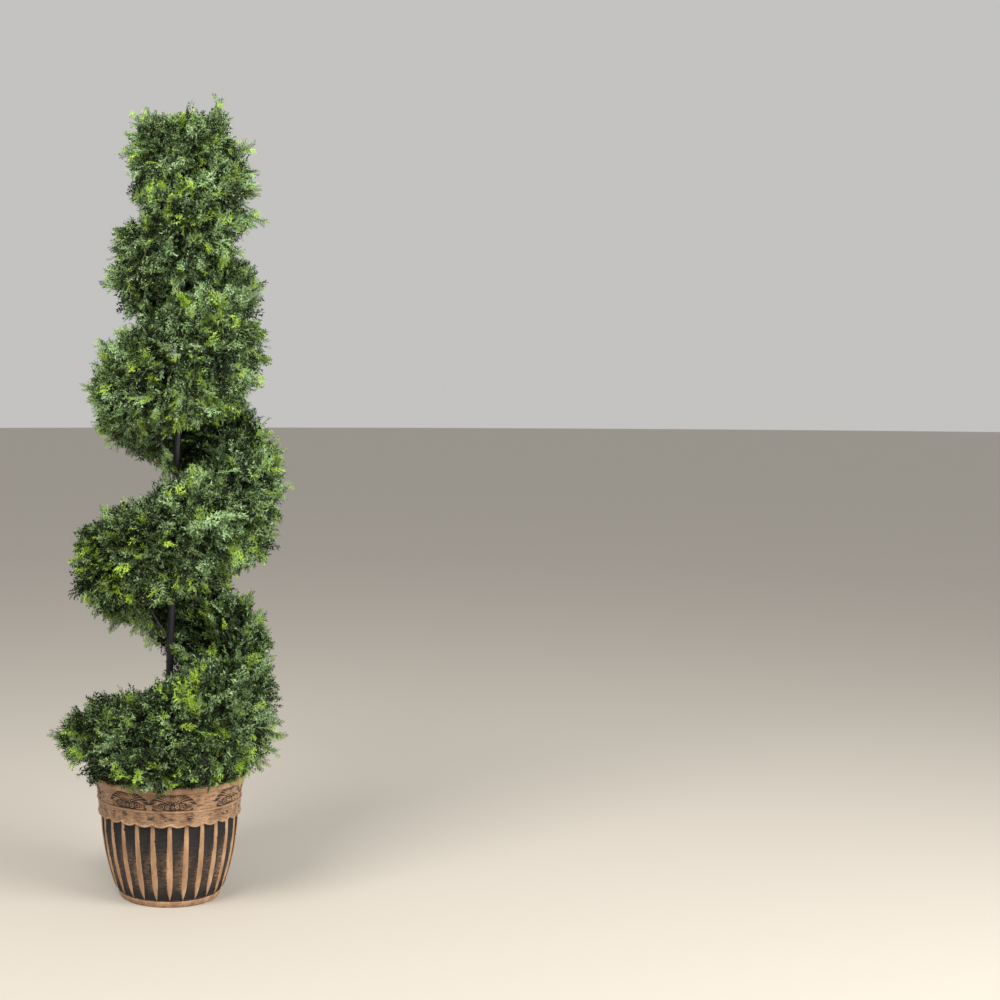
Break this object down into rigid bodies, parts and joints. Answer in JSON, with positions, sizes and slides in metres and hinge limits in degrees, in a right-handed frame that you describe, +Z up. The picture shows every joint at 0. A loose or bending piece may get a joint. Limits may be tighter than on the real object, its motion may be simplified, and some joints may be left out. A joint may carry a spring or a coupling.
{
  "type": "artificial spiral topiary",
  "caption": "Artificial conifer clipped into one rising spiral round a leaning black pole, standing in a fluted pot with a cast filling.",
  "frame": {"origin": "middle of the pot's flat underside", "axes": "+Z up along the pot's axis, -Y towards the front as pictured, +X to the right"},
  "size_m": [0.3886, 0.3613, 1.1999],
  "materials": {
    "pot_finish": "dark slate flutes under dry-brushed worn copper on the ribs, band and rim",
    "filling": "rough cast cement",
    "black_coat": "black plastic coat with fine ribs",
    "foliage": "matt moulded sprays in dark, middle and yellow greens"
  },
  "bodies": {
    "root": {"pot": "pot_finish", "filling": "filling", "pole": "black_coat", "strut_01": "black_coat", "spiral_foliage_01": "foliage", "strut_02": "black_coat", "spiral_foliage_02": "foliage", "strut_03": "black_coat", "spiral_foliage_03": "foliage", "strut_04": "black_coat", "spiral_foliage_04": "foliage", "strut_05": "black_coat", "spiral_foliage_05": "foliage", "strut_06": "black_coat", "spiral_foliage_06": "foliage", "strut_07": "black_coat", "spiral_foliage_07": "foliage", "strut_08": "black_coat", "spiral_foliage_08": "foliage", "strut_09": "black_coat", "spiral_foliage_09": "foliage", "strut_10": "black_coat", "spiral_foliage_10": "foliage", "strut_11": "black_coat", "spiral_foliage_11": "foliage", "strut_12": "black_coat", "spiral_foliage_12": "foliage", "strut_13": "black_coat", "spiral_foliage_13": "foliage", "strut_14": "black_coat", "spiral_foliage_14": "foliage", "strut_15": "black_coat", "spiral_foliage_15": "foliage", "crown_foliage": "foliage"}
  },
  "joints": []
}
